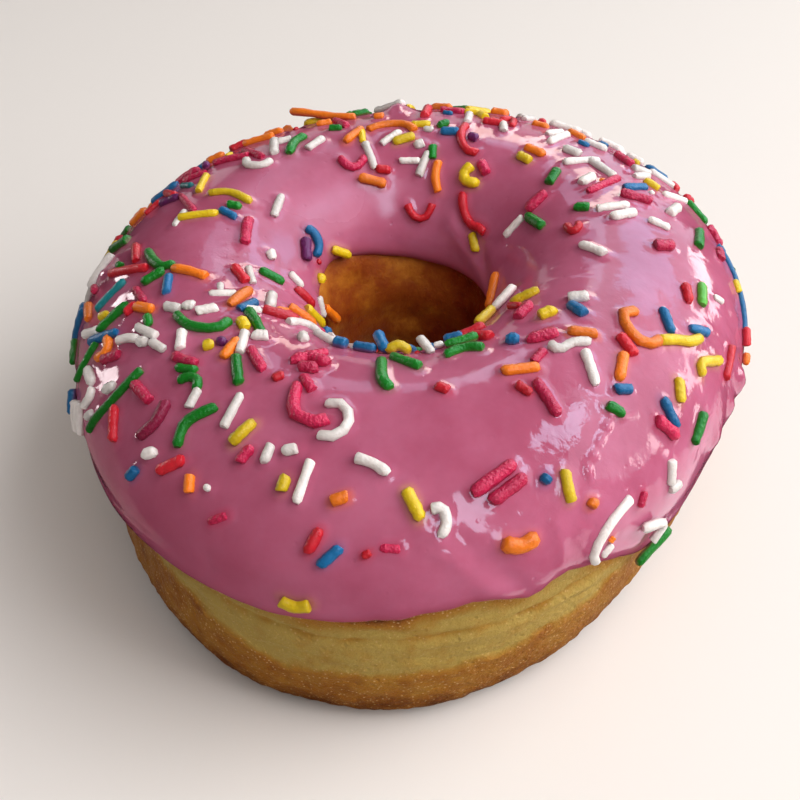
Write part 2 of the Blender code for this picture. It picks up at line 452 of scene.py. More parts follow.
# The dough is fried yeast dough, browned below and in the hole, with a pale band that stayed out of the oil.
dough = {
    "wall": (12, 16),           # out beyond which the outer wall begins, from and to
    # where the pale band ends and the crust begins: ring degree, out
    "crustFrom": ((0, 30.6), (30, 31.6), (60, 30.6), (90, 31.6), (120, 30.6), (150, 31.6), (180, 31.6),
                  (205, 31.6), (218, 31.1), (225, 30.8), (230, 31.6), (235, 32.4), (240, 33.4), (245, 35.8),
                  (250, 38), (255, 38), (260, 37.6), (265, 37.4), (270, 37.2), (275, 37), (280, 36.8),
                  (285, 36.1), (290, 35.2), (295, 34.4), (300, 33.1), (305, 31.2), (312, 30), (330, 30.1)),
    "crustUneven": ((0.9, 3, 21), (0.4, 1.1, 22)),
    "crustFade": (-0.6, 1.1),   # how far from there the crust starts and is complete
    "crustProud": 0.25,
    # a crease along the band: ring degree, out
    "crease": ((235, 28.2), (245, 30.2), (250, 30.3), (255, 31.6), (258, 31), (263, 31), (269, 31.3),
               (275, 30.6), (280, 30.5), (285, 30.5), (289, 30), (300, 28.4), (330, 28), (0, 29), (60, 28),
               (120, 29), (180, 28)),
    "creaseUneven": ((0.5, 3.5, 23),),
    "creaseWidth": 0.40,
    "creaseDepth": 0.42,
    "fold": (1.3, 0.9, 0.18),   # swells below the crease: how far below, width, height
    "swell": ((0.30, 11, 25), (0.14, 3.2, 26)),
    "hollow": (214, 14, 31, 7), # ring degree, half width, out, half width
    "hollowDepth": 1.7,
    "fibres": (6, 1.1),         # the pale band tore as it rose: length and width of a fibre
    "fibreHeight": 0.22,
    "grain": ((0.14, 0.9, 28), (0.12, 1.8, 32)),
    "holeSwell": ((0.55, 4.5, 29),),
    "undersideSwell": 0.25,
    # how baked each part is: 0 pale, 0.4 golden, 0.7 brown, 1 dark
    "creaseBake": 0.28,
    "crustBake": 0.50,
    "footBake": 0.32,           # darker by this on the way down to the foot
    "undersideBake": 0.8,
    "toastedBake": 0.62,
    # toasted where the band meets the icing: ring degree, half width, strength
    "toasted": ((268, 15, 1.3), (283, 6, 0.8), (303, 5, 0.7), (60, 30, 0.8), (150, 25, 0.8)),
    "paintedShadeFrontLeft": (215, 32, 0.07),      # painted shade, darker on the front-left side: ring degree, half width, bake
    # how brown the hole's wall is, with painted shade darkening the right-hand wall: ring degree, bake
    "holeBakeAndShade": ((0, 0.8), (45, 0.78), (70, 0.57), (90, 0.42), (110, 0.49), (130, 0.57), (150, 0.54),
                 (180, 0.5), (230, 0.5), (300, 0.75)),
    "holeBakeDeeper": 0.10,     # darker by this on the way down the hole
    "holeBakeUneven": ((0.12, 4.5, 29),),
    "tuckedIn": 2.5,            # how far under the icing's edges its close rows go
    "wallRows": 66,
    "topRows": 10,
    "holeRows": 44,
    "footRows": 12,
    # colours by bake, dry and where hot oil kept running; the dark oily end holds painted shade and pink
    # reflection
    "dryColours": ((0.0, "#B09447"), (0.22, "#A97E2C"), (0.42, "#AA7420"), (0.6, "#9E6012"),
                   (0.8, "#783E08"), (1.0, "#421804")),
    "oilyAndShadedColours": ((0.15, "#D09038"), (0.4, "#B8701E"), (0.6, "#94480E"), (0.8, "#7C2A08"),
                    (1.0, "#581204")),
    "glintSpeckColour": "#D8B47C",
}


def between(start, end, count):
    share = np.arange(count) / count
    return start[:, None] + (end - start)[:, None] * share


outerFoot = skin["out"][:, -1]
holeFoot = skin["out"][:, 0]
topEnd = edgeOut - dough["tuckedIn"]
topStart = holeOut + dough["tuckedIn"]
doughOut = np.concatenate([
    between(outerFoot, topEnd, dough["wallRows"]),
    between(topEnd, topStart, dough["topRows"]),
    between(topStart, holeFoot, dough["holeRows"]),
    holeFoot[:, None],
], axis=1)
doughBase = alongSkin(skin, doughOut, 0 * doughOut)
outerWall = ease(doughOut, *dough["wall"])
crustEdge = byDegree(dough["crustFrom"])[:, None] + unevenness(doughBase, dough["crustUneven"])
crusted = ease(doughOut - crustEdge, *dough["crustFade"]) * outerWall
creaseAt = byDegree(dough["crease"])[:, None] + unevenness(doughBase, dough["creaseUneven"])
creaseStrength = 0.5 + 0.9 * np.clip(lumps(doughBase, 4, 24) + 0.3, 0, 1)
crease = hump(doughOut - creaseAt, dough["creaseWidth"]) * outerWall * creaseStrength
foldBelow, foldWidth, foldHeight = dough["fold"]
fold = foldHeight * hump(doughOut - creaseAt - foldBelow, foldWidth) * outerWall
fibres = dough["fibreHeight"] * lumps(ringGrain(skin, doughOut, *dough["fibres"]), 1, 27)
relief = unevenness(doughBase, dough["swell"])
relief -= dough["hollowDepth"] * patch(doughOut, *dough["hollow"])
relief += fibres * (1 - crusted) * outerWall
relief += unevenness(doughBase, dough["grain"]) * np.maximum(crusted, 0.5)
relief += unevenness(doughBase, dough["holeSwell"]) * ease(-doughOut, 13, 19)
relief += dough["crustProud"] * crusted - dough["creaseDepth"] * crease + fold
onFoot = ease(doughBase[..., 2], 0, 2.5)            # the foot itself stays flat
doughFace = alongSkin(skin, doughOut, relief * onFoot)
footShare = (np.arange(dough["footRows"]) + 1) / (dough["footRows"] + 1)
underside = doughFace[:, -1:] + (doughFace[:, :1] - doughFace[:, -1:]) * footShare[None, :, None]
undersideSwell = 0.5 + 0.5 * lumps(underside, 3, 14)
underside[..., 2] += dough["undersideSwell"] * undersideSwell * np.sin(math.pi * footShare)
doughPlaces = np.concatenate([doughFace, underside], axis=1)

# the bake of each point
toasted = np.zeros_like(degrees)
for degree, halfWidth, strength in dough["toasted"]:
    toasted = np.maximum(toasted, strength * hump(degreesBetween(degrees, degree), halfWidth))
underIcing = 1 - ease(doughOut - edgeOut[:, None], 0.0, 3.0 + 1.2 * lumps(doughBase, 4, 30))
bake = dough["toastedBake"] * toasted[:, None] * underIcing * outerWall
bake = np.maximum(bake, dough["creaseBake"] * crease)
lowering = ease(doughBase[..., 2], 9, 0)
bake = bake + (dough["crustBake"] + dough["footBake"] * lowering - bake) * crusted
# painted shade: the dough's front-left side is made darker, where the key light from the right doesn't reach
degree, halfWidth, darker = dough["paintedShadeFrontLeft"]
paintedShadeFrontLeft = hump(degreesBetween(degrees, degree), halfWidth)[:, None]
bake += darker * paintedShadeFrontLeft * outerWall * (0.4 + 0.6 * crusted)
inHole = ease(-doughOut, 11, 14)
# painted shade: the hole's wall is darker on the right, where the light from the right doesn't reach
holeBakeAndShade = byDegree(dough["holeBakeAndShade"])[:, None] + dough["holeBakeDeeper"] * ease(-doughOut, 16, 25)
holeBakeAndShade = holeBakeAndShade + unevenness(doughBase, dough["holeBakeUneven"])
bake += (holeBakeAndShade - bake) * inHole
undersideBlank = np.zeros(underside.shape[:2])
bakeAll = np.clip(np.concatenate([bake, undersideBlank + dough["undersideBake"]], axis=1), 0, 1)
oilyAll = np.concatenate([inHole, undersideBlank + 0.5], axis=1)
doughRing = ringPiece("doughRing", doughPlaces, {"bake": bakeAll, "oily": oilyAll})
say("dough modelled")


# Sprinkles are short rods of coloured sugar paste that sank a little into the icing before it set.
sprinkles = {
    "colours": {"white": "#E6E2E0", "green": "#0E7A1A", "lime": "#5DB53A", "yellow": "#DDBF14",
                "orange": "#EE7C14", "red": "#C81C2C", "magenta": "#C2204F", "wine": "#80163A",
                "purple": "#64205C", "blue": "#0E659C", "teal": "#107C84"},
    "wetColour": "#B04A66",     # low on a rod, where the icing wets it
    "laidThickness": 0.9,       # a laid rod's thickness for each unit in its row
    "sunk": 0.22,               # share of the thickness that is under the icing
    "spans": 6,
    "pathSteps": 19,            # places along a laid path before it is spaced evenly
    # ends: share that snapped off blunt, then a cap's width, least and most length for each unit of radius
    "bluntShare": 0.35,
    "bluntCap": (0.8, 0.2, 0.32),
    "roundCap": (0.62, 0.45, 0.65),
    "slant": 0.18,              # how far an end may be off square, for each unit of radius
    "flattened": 0.94,          # height of a rod for each unit of width
    "widthUneven": 0.09,        # most change of width along a rod at least this long
    "widthUnevenFrom": 3,
    "pebbleSize": 0.7,
    "pebbleHeight": 0.035,
    "grainy": {"magenta": 2.2, "wine": 1.8, "green": 1.3},      # these pastes are coarser than the rest
    # the icing round a rod: how high it creeps up and how far that reaches, then the dye in it
    "meniscus": 0.17,
    "meniscusReach": 0.42,
    "dyeReach": 0.38,
    "dyeUneven": ((0.6, 2.2, 31),),
    "bleeds": {"white": 0.0, "green": 0.2, "lime": 0.2, "yellow": 0.2, "orange": 0.35, "red": 0.35,
               "magenta": 0.3, "wine": 0.3, "purple": 0.3, "blue": 0.25, "teal": 0.25},
    "bled": (0.15, 1.0),        # least and most share of its dye that a rod lost
    "farthest": 2.5,            # further than this from a rod the icing has no dye
    "nearSteps": 25,            # places along each rod that distances are taken from
    # strewn by chance where nothing was laid: ring degree, half width, lowest out, highest out, count
    "strewn": ((90, 62, 8, 24, 85), (168, 14, 14, 23, 10), (18, 14, 26, 30, 6), (265, 60, -14, -9, 14)),
    "seed": 20,
    "shares": {"white": 30, "green": 13, "yellow": 12, "orange": 12, "red": 10, "magenta": 11, "blue": 10,
               "purple": 2},
    "thickness": (1.2, 1.55),
    "length": (2.4, 5.4),
    "tries": 30,                # for each rod wanted
    "fromHoleEdge": 2.5,        # least distances of a strewn rod's middle from the icing's edges
    "fromOuterEdge": 3,
    "fromLaid": 1.5,            # and of its middle and ends from the rods laid and strewn before it
    "fromStrewn": 1.6,
}
# A row is a thickness, then the ring degree and out of the places a rod runs through, and how far it is
# lifted there.
laid = {
    "white": (
        (1.4, (307.7, 0.5), (308.2, 1.7), (312, 1.9), (315.2, 3)), (1.4, (312.3, 3.5), (308.7, 7)),
        (1.4, (315.4, 18.2), (314.2, 20.5)), (1.4, (314.3, 21.3), (316.6, 21.5)),
        (1.4, (304.8, 18.9), (300.3, 20), (297.6, 21.6), (296.7, 23), (297.6, 24.3)),
        (1.1, (298.9, 23.8), (300.5, 22.9)),
        (1.4, (307, 23, 0.4), (310.2, 23.4, 0.8), (311.6, 24.6, 0.8), (309.6, 26.2, 0.8)),
        (1.4, (272.5, 14.7), (274.2, 14.7), (274.6, 16.2), (273.8, 17.3)),
        (1.5, (260, 9.4), (263, 9.9), (265.7, 10.9)), (1.3, (252.2, 14.7), (252.5, 10.3)),
        (1.5, (247.3, 9.9), (249.5, 9.3)), (1.4, (244.8, 11.5), (244.6, 9.6)),
        (0.9, (237.1, 15.8), (238, 15.8)), (1.6, (223.7, 15.9), (225.3, 15.1)),
        (1.4, (251.5, 3.4), (254, 3), (256.5, 4), (257.2, 5.5), (256, 6.9), (254, 7.4), (252.3, 7.3)),
        (1.3, (233, 5.6), (234.4, 9.6)), (1.4, (218.7, -1), (224.3, 1.5)),
        (1.7, (221.5, -1.3), (224.5, -2.4)), (1.6, (232.5, -5), (229.5, -5.8)),
        (1.4, (219.7, -6.4), (218.8, -8.2), (220.5, -9.6), (226, -9.6)), (1.5, (229, -8.5), (240, -7.5)),
        (0.9, (247.5, -8), (248.5, -8)), (0.9, (253.5, -8.5), (254.5, -8.5)),
        (1.3, (274.5, -8, 1.5), (277.8, -6.2)), (1.0, (280, -7.5, 0.4), (283, -7.5, 0.4)),
        (1.2, (173, -15.6), (179.5, -17.4)), (1.3, (177.6, -10.4), (180.3, -12.2)),
        (1.5, (171.5, -7.4), (175, -7.9)), (1.3, (143.5, -4.9), (153, -5.9)),
        (1.1, (184.3, -5.2), (194, -5.5)), (1.2, (208.6, -3.2), (210.5, -4.6)),
        (1.6, (199, -7.4), (207.8, -6.2)), (1.4, (198, -0.4, -0.3), (199.8, -3.2, -0.3)),
        (1.1, (193.5, -1.8, -0.3), (196.5, -1.6, -0.3)), (1.5, (204, 1.9), (205.3, -0.3)),
        (1.5, (200.4, 2.7), (201.4, 1.8)), (1.5, (197.6, 4.7), (200.8, 3.3)),
        (1.4, (187, 16.3), (190.8, 13.4)), (1.6, (196.9, 16.1), (201, 15.9)),
        (1.4, (202, 16.2), (203, 17), (202.3, 18.5)), (1.5, (206, 14.7), (207.2, 13.5)),
        (1.2, (204.6, 18.8), (206, 17.6)), (1.3, (224.2, 7.4), (225.5, 9.6)),
        (1.5, (208, 4.2), (212.6, 5.6)), (1.4, (198.9, 8.3), (205, 6.8)), (1.3, (205.4, 7.6), (209.7, 6.9)),
        (1.4, (198.3, 11.1), (200, 9.7), (202.2, 8.7)), (1.6, (203.2, 8.8), (204.6, 8)),
        (1.4, (195.5, 21, 0.1), (199, 22.3, 0.4)), (1.4, (198.5, 19.6), (201, 22, 0.5)),
        (1.4, (200.5, 19), (203, 21.5, 0.2)), (1.2, (160.5, 4.6, -0.3), (166.5, 4.9, -0.3)),
        (1.4, (136.3, 3.5), (138.3, 2.2), (136.5, 0.6), (133.2, 0.4)), (1.5, (125.6, 4.2), (130, 1.4)),
        (1.3, (125.5, 3.4), (122, 2.8)), (1.3, (121.7, -0.8), (114.7, 0.2)),
        (1.3, (103, -2.6), (101.8, -6.4)), (1.2, (97.3, -3.2), (90.6, -1.3)), (1.5, (85, -3.9), (82, -3.5)),
        (1.1, (91, -5.9), (83, -6)), (1.3, (80, -4.8), (82.7, -7.9)), (1.1, (82.5, -1), (80, -1.2)),
        (1.3, (71.5, 4.2), (70.3, 1.3)), (1.4, (60.8, 2.6), (58.5, 0.8)), (1.4, (44.5, 1.8), (45.5, 6.3)),
        (1.3, (48, 3.6), (47, 6.2)), (1.6, (39.3, 2), (35, 2.6)), (1.3, (34, -0.1), (30.8, 4.2)),
        (1.4, (41, 7), (36, 8)), (1.4, (31.5, 3), (22.5, 3.7)), (1.6, (22.7, -0.7), (24, 1.2)),
        (1.3, (26.5, 8), (26, 11)), (1.3, (23, 7), (24.5, 10)), (1.3, (28, 12.4), (24.5, 15.3)),
        (0.9, (16, 7.5), (17, 7.5)), (1.2, (17.3, 9.8), (19, 14.5)), (1.3, (8.9, -1), (9.5, 2.7)),
        (1.6, (4.2, 0.3), (6.3, 3.2)), (1.6, (8.9, 8.2), (13.2, 10.6)), (1.3, (4.2, 4.7), (2.8, 7)),
        (1.0, (350, 13.4), (350.8, 14.9)), (1.4, (353.3, -3.4), (348, -0.7)),
        (1.7, (326, -2.4), (328.6, -0.6)), (1.2, (25, -8.3), (26.5, -11.3)),
        (1.4, (341, -10.8, 0.3), (328, -12.4, 0.3)),
    ),
    "green": (
        (1.5, (308, 9.4), (309.6, 11)), (1.5, (327, 17.5), (322, 19)),
        (1.5, (309, 30.2, 0.4), (316, 28.2, 0.4)), (1.5, (264, -5.6), (273, -2.8)),
        (1.5, (261, -4.4), (262.5, -1), (264.8, 0.4)),
        (1.5, (281.3, -4.5), (286, -5), (290, -4.7), (293.2, -3.7)),
        (1.5, (284, -6.6, 0.3), (295, -6.3, 0.3)), (1.5, (224.3, 2), (230.6, 4.5)),
        (1.5, (209.6, -3.2), (215.5, -3), (222.4, -2.2)),
        (1.5, (202, 3.9), (207, 3.4), (210.7, 2.2), (213, 0.9), (212, -0.6)),
        (1.5, (185.2, -6.6), (187.4, -9.4)), (1.5, (191, 13.3), (190.3, 9.1)),
        (1.3, (193.5, 14), (194.7, 18.8)), (1.3, (210, 10), (209.4, 14.5), (207, 19.3)),
        (1.5, (230.3, 8), (228.2, 9.7), (227.2, 11.3), (228.6, 13.4)),
        (1.4, (219.2, 7.9), (220.2, 7), (222.4, 6.7), (224, 7.6)), (1.3, (216.2, 7.1), (220.2, 6)),
        (1.4, (197.5, 6.9), (200.5, 7)), (1.5, (186.3, 6.8), (184.7, 4.4)),
        (1.5, (175, 7), (180, 5.7), (183, 4.5), (183.2, 3.2)), (1.3, (174.2, 11.6), (175.6, 10.8)),
        (1.4, (181, 20.5), (185, 21.5)), (1.4, (157.2, -0.4), (156.6, -2)),
        (1.5, (118.8, 2.1), (122.5, 1.6), (127, 0)), (1.3, (102, 6.5, 0.2), (98, 6.8, 0.2)),
        (1.3, (111, 2.3), (108, 1.6)), (1.3, (78.7, -3.9), (77.9, -5.7)), (1.4, (78.3, -0.3), (76, 0.5)),
        (1.5, (22.7, -7.9), (12, -7.1)), (1.5, (32.6, -1.6), (29.2, -3.7)), (1.5, (12.3, -3), (10.4, -1.7)),
        (1.3, (19.5, 15.3), (14.6, 16.6)), (1.5, (7.3, 12.6), (1, 11.2)),
    ),
    "lime": ((1.5, (349.8, 11.1), (344.8, 11.5)),),
    "yellow": (
        (1.8, (315, -3.5), (319.4, -2.7)), (1.5, (328.5, 8.3), (331.5, 9.7), (334, 11.3), (337, 12.4)),
        (1.5, (331.3, 14.7), (333.2, 13.9), (338, 16.2)), (1.5, (325.4, 12.5), (322.8, 14.2)),
        (1.5, (294.6, 13.6), (294.2, 15.1), (294.1, 16.6)), (1.6, (268.8, 12.7), (270.9, 15.5)),
        (1.7, (252.3, 24.2), (254.4, 24.6), (256.4, 24.2)), (1.6, (249.4, 14.1), (249.4, 12.5)),
        (1.6, (237.6, 10.8), (238.6, 9.4, 0.3), (239.2, 7.9)),
        (1.6, (262, -7, 0.2), (266, -7.2, 0.8), (270, -7, 0.2)),
        (1.6, (327, -12.4, 0.3), (311, -11.8, 0.3)), (1.6, (324, -9), (330, -6.7)),
        (1.5, (138.5, -13.8), (128.5, -15.6)), (1.5, (157.5, -14.8), (159.8, -15.3)),
        (1.6, (197, -12.7), (194.5, -16.3)), (1.7, (213.3, -1.7), (217.3, -1.4)),
        (1.6, (216, 3.6), (217, 2.7)), (1.3, (187.4, 13.2), (188.4, 12)), (1.3, (164, 4.7), (162, 0.1)),
        (1.3, (144.5, 6.7), (152.6, 4.8)), (1.3, (153.5, 2.9), (151.6, 0.5), (152.5, -2.5)),
        (1.0, (135, 8.5), (133.5, 8.6)), (1.1, (102.6, -0.1), (103.5, -2.3)),
        (1.5, (92.7, -3.1), (86, -2.4)), (1.3, (86.7, 0), (81.5, 0)), (1.4, (73, 5.2), (69.5, 5.2)),
        (1.4, (69, 5), (66.5, 3.4)), (1.7, (61, -5.9), (63, -6.9), (60.8, -7.8), (55.6, -7.7)),
        (1.4, (48.5, -13.4), (41.5, -15)), (1.5, (47.4, -2.6), (42.2, -2.6)),
        (1.1, (32.5, 11.6), (31, 11.8)), (1.4, (21.8, 8.2), (18.8, 9.4)), (1.3, (1.2, 18.6), (-0.6, 19.3)),
    ),
    "orange": (
        (1.5, (314.5, 0.6), (318.3, 2.9)),
        (1.6, (330.7, 4.5), (327.6, 3.5), (325, 5), (324.3, 6.5), (325.5, 7.6), (328.5, 8.3)),
        (1.5, (319, 6.3), (313.7, 8)), (1.2, (350, 22.4, 0.3), (348.6, 22.8, 0.3)),
        (1.5, (297, 17.7), (298, 17.3)), (2.1, (282.6, 18.8), (284.8, 19.2), (287.2, 18.8)),
        (0.9, (300, 22.4), (300.8, 22)), (1.5, (292.8, 0.9), (300.8, 2.2)),
        (1.6, (257.4, 14.2), (259.8, 13.5)), (1.5, (233.7, 15.3), (235, 16.9)),
        (1.5, (220.2, 0.5), (222.3, 3)), (1.6, (205.2, -1.8), (198.2, -4.8)),
        (1.5, (204.9, -9), (211, -12.2)), (1.2, (209.8, -6.8), (210, -8.2)),
        (1.5, (170.5, -17.7), (160, -21.2)),
        (1.5, (195.2, 12.3), (197.5, 12.3), (198.4, 13.2), (197.3, 14.3)),
        (1.5, (192.6, 7.9), (196.6, 6.1)), (1.4, (184.7, 3.2), (187.2, 1.5), (190.5, -0.4)),
        (1.3, (102, 4.6, 0.1), (108, 6.8, 0.6), (115, 9.5, 2.2)), (1.3, (112, 5), (108.5, 4.6)),
        (1.4, (109, -1.6), (102.6, 0.1)),
        (1.3, (100.5, -0.2), (97, 0.4), (92.5, 0.5), (88.5, 0.1), (85.8, -1.2)),
        (1.3, (97.3, 3.4), (94.8, 3.2)), (1.6, (108.7, -7.3), (98.8, -8.6)),
        (1.3, (75.3, -6), (75.2, -7.9), (72.4, -9.7)), (1.4, (47.8, -1), (41, -0.8)),
        (1.3, (47.5, 8.3), (42.5, 7.8)), (1.3, (55.5, 6), (51.5, 6.3)),
        (1.0, (22.5, 1.8, -0.2), (20.5, 2.6, -0.2)), (1.5, (15, -15), (-1, -17.5)),
    ),
    "red": (
        (1.6, (322, 4.7), (320.5, 7.2)), (1.3, (344.4, 17.8), (337.7, 18.5)),
        (1.3, (353, 20.8, 0.3), (350.5, 21.6, 0.3)), (1.3, (293.8, 3.1), (295.3, 4.6)),
        (1.4, (276, 0.7), (278.6, 1.6)), (1.7, (295, -7.8), (298.5, -5.3)),
        (0.7, (272.5, -7.2), (273.5, -7.2)), (1.2, (322.5, -9.3), (320.5, -7.3)),
        (1.5, (255.5, 19.1), (256.5, 17.1)), (1.0, (263, 19.1), (264, 18.7)),
        (1.3, (236.6, 2.2), (238, 1.3)), (1.6, (228, 16.4), (231, 14.4)),
        (1.5, (211.2, 14.8), (215.4, 17.2)), (1.5, (186, -3.6), (193.7, -4.7)),
        (1.5, (185.3, -11.4), (187, -14.3)), (1.7, (210.3, -4.9), (213, -6), (217.5, -8)),
        (1.4, (214.5, -5.9), (212.5, -8.2)), (0.9, (239.5, -9.5), (240.5, -9.5)),
        (0.9, (152.3, -13.6), (153.5, -13.6)), (1.4, (175.5, 12.6), (181.3, 6.5)),
        (1.5, (192.6, 9.3), (192, 7.9)), (1.4, (170.4, 9.5), (176.8, 8.4)),
        (1.1, (155.5, 13), (152.5, 11.5)), (1.3, (148.5, 12.5), (152.5, 8.8)),
        (0.8, (116.5, 6.5), (117.5, 6.5)), (1.4, (101, -6.6), (95.8, -7)),
        (1.2, (87.5, -11.3), (84.8, -12.5), (80.6, -13), (76.3, -12.6), (74.2, -11.1)),
        (1.5, (83.4, 2.2), (82.8, 5.8, 0.2)),
        (1.4, (70, 0.3), (70.5, -1.3), (68.3, -3.2), (64.3, -4.2), (61.3, -4.1)),
        (1.4, (60.3, -9.3), (57.5, -11), (51.6, -12.4), (45.2, -12.3), (40.5, -12.5)),
        (1.5, (66, 2.1), (60.7, 2.4)), (1.2, (62.5, 3.8), (60, 5), (58, 2.6)),
        (1.2, (26, 15.6, 0.2), (23.5, 15.2, 0.2)), (1.2, (22, 16, 0.3), (20.5, 16.6, 0.3)),
        (1.3, (5.7, -4.7), (1.6, -4.3), (1.4, -3.7), (3.8, -3.3)), (1.5, (346.4, 8.8), (343, 9.7)),
    ),
    "magenta": (
        (1.7, (305, -1.6), (312, -0.2)), (1.3, (305.2, 0.7), (300.6, 1.3)),
        (1.7, (312.3, -5.8), (320.3, -6)), (1.7, (315.8, 13.8), (318, 16.4)),
        (1.55, (298, 3.6), (298, 7.9)), (1.7, (279.3, 13.5), (286.6, 11.4)),
        (1.7, (281.9, 14.6), (287.7, 13)), (1.2, (306.6, 20.3), (307.8, 19.2)),
        (1.3, (265.4, 18.3, -0.45), (268, 18.4, -0.45)), (1.3, (240, 18.7, -0.4), (242.3, 17.6, -0.4)),
        (1.5, (240.7, 12.3), (241.4, 10.6)), (1.4, (242.7, 0.5), (247, 2.1)),
        (1.7, (243, 2), (244.2, 4), (246, 5.5), (249, 5.8), (251.6, 5.9), (253, 5.2)),
        (1.7, (237, -1), (243, -4)), (1.7, (238, -2.5), (246, -2.3)), (1.7, (240, -0.5), (244.5, -1)),
        (1.5, (225.3, 0.3), (232.6, 1.7)), (1.6, (161, -3.7), (172.8, -4.4)), (1.2, (219, -11), (222, -12)),
        (1.5, (199.3, 13.6), (202, 11.3)), (1.5, (211.3, 11.5), (217.5, 11.5)),
        (1.4, (213, 6.5), (218.8, 5.4)), (1.3, (186.6, 7.9), (192.5, 6.9)),
        (1.2, (175, 15.8, 0.2), (177, 15.2, 0.2)), (1.1, (153.4, 7.3), (161, 3.2)),
        (1.2, (145, 11), (143, 7.8)), (1.4, (138.5, 8.6), (134.5, 4.1)), (1.3, (132.5, 6.3), (133.3, 2)),
        (1.3, (107.5, 5), (106, 1.8)), (1.3, (113.8, -4), (112.5, -5.3), (109, -5.8), (104.5, -4.8)),
        (1.4, (79.6, 5.4), (73.4, 5)), (1.5, (58.7, -5.1), (53.5, -6.3)), (1.6, (25.8, -7.4), (26.3, -4.7)),
        (1.5, (33.6, 8.8), (27.8, 8.2)), (1.3, (18, -0.8), (22, 4.2)), (1.6, (14.5, 2.8), (11.6, 6.1)),
        (1.8, (354.6, 4.7), (356.6, 7)), (1.4, (13.8, 17), (9.5, 17.6)), (1.4, (6, 16), (3, 15.8)),
    ),
    "wine": ((1.6, (220.8, 10.5), (221.8, 12.7), (220.6, 15)),),
    "purple": (
        (1.4, (217, 1.9), (218.6, 1.6)), (1.6, (151.5, -10.5), (161, -12)),
        (1.4, (154.6, 10.3), (154, 7.6)), (1.3, (139.5, 9.6, 0.4), (141, 8.6, 0.4)),
        (1.5, (67, -1.8), (64, -2.1)),
    ),
    "blue": (
        (1.6, (323.6, -1.8), (321.9, 0.5)), (1.5, (311.5, 8.6), (314.6, 9.6)),
        (1.5, (319.2, 12.6), (318.8, 15.8)), (1.4, (337, 10.8), (340, 13.2)),
        (1.5, (335.8, 7), (332.3, 8.9)), (1.9, (301, -3.1), (302.6, -2.5)),
        (1.5, (290.7, 13.9), (291.7, 13.5)), (1.4, (285, -8.2, 0.6), (291, -7.6, 0.6)),
        (1.6, (256.5, -9, 1.8), (261.5, -6.9, 0.2)), (1.5, (249, -7.3, 0.3), (257, -7.3, 0.3)),
        (1.7, (241, -7, 0.3), (246, -7, 0.3)), (1.7, (210, -14.8, 0.3), (214, -14.2, 0.3)),
        (1.4, (257.4, 20.2), (259.7, 18.5)), (1.5, (222.6, 18.9), (223.5, 17.5)),
        (1.4, (208.5, -2.3), (205.3, -4.8)),
        (1.4, (146.5, -9.8), (145, -10.7), (147, -12.2), (152.5, -12.8)), (1.4, (191.3, 15), (196, 10.9)),
        (1.4, (187, 3.7), (193.2, 4.2)), (1.3, (160, 0), (162, -2.3)),
        (1.4, (193, 20.8, 0.2), (195.5, 22.6, 0.7)), (1.5, (76.8, -1.5), (71.4, -1.3)),
        (1.0, (78.5, 4.2), (76.2, 4)), (1.1, (41, 5.8), (38.5, 6)), (1.2, (40, 9.5), (38, 9.6)),
        (1.4, (17, 3.5), (18.3, 7.1)), (1.2, (8, 17), (6.5, 17.2)),
        (1.1, (8, 16.5), (7, 17.3), (5, 18.2), (2.5, 19.4), (0, 20), (-2.5, 20.5), (-5, 21), (-7.5, 21.4)),
    ),
    "teal": ((1.3, (184, 14), (182, 9.6)), (1.1, (148, 9.5), (149, 7.3))),
}


def rodMould():
    # a rod along z from 0 to 1 and 2 across, in spans, with a shallow cap on each end
    bpy.ops.object.select_all(action="DESELECT")
    bpy.ops.mesh.primitive_cylinder_add(vertices=8, radius=1, depth=1, location=(0, 0, 0.5))
    mould = bpy.context.object
    bpy.ops.object.transform_apply(location=True, rotation=True, scale=True)
    mesh = mould.data
    bpy.ops.object.mode_set(mode="EDIT")
    bpy.ops.mesh.select_mode(type="EDGE")
    bpy.ops.mesh.select_all(action="DESELECT")
    bpy.ops.object.mode_set(mode="OBJECT")
    for edge in mesh.edges:
        low, high = (mesh.vertices[index].co.z for index in edge.vertices)
        edge.select = abs(low - high) > 0.5
    bpy.ops.object.mode_set(mode="EDIT")
    bpy.ops.mesh.subdivide(number_cuts=sprinkles["spans"] - 1)
    for end in (0, 1):
        bpy.ops.mesh.select_mode(type="FACE")
        bpy.ops.mesh.select_all(action="DESELECT")
        bpy.ops.object.mode_set(mode="OBJECT")
        for face in mesh.polygons:
            face.select = abs(face.normal.z) > 0.9 and abs(face.center.z - end) < 0.01
        bpy.ops.object.mode_set(mode="EDIT")
        bpy.ops.mesh.extrude_region_move(TRANSFORM_OT_translate={"value": (0, 0, 0.2 * (2 * end - 1))})
    bpy.ops.object.mode_set(mode="OBJECT")
    points = np.array([vertex.co[:] for vertex in mesh.vertices])
    faces = sorted(tuple(face.vertices) for face in mesh.polygons)     # extrude makes them in any order
    bpy.data.objects.remove(mould, do_unlink=True)
    return points, faces


def onIcing(degree, out):
    # the place and the way up on the icing at a ring degree and a distance out
    row = sectionAt(degree)
    radius, height, sideways, upward = readSkin(skin, row, out)
    raised = np.interp(out, faceOut[row, ::-1], cover[row, ::-1])
    angle = math.radians(degree)
    up = np.array([sideways * math.cos(angle), sideways * math.sin(angle), upward])
    return inSpace(angle, radius, height) + up * raised, up


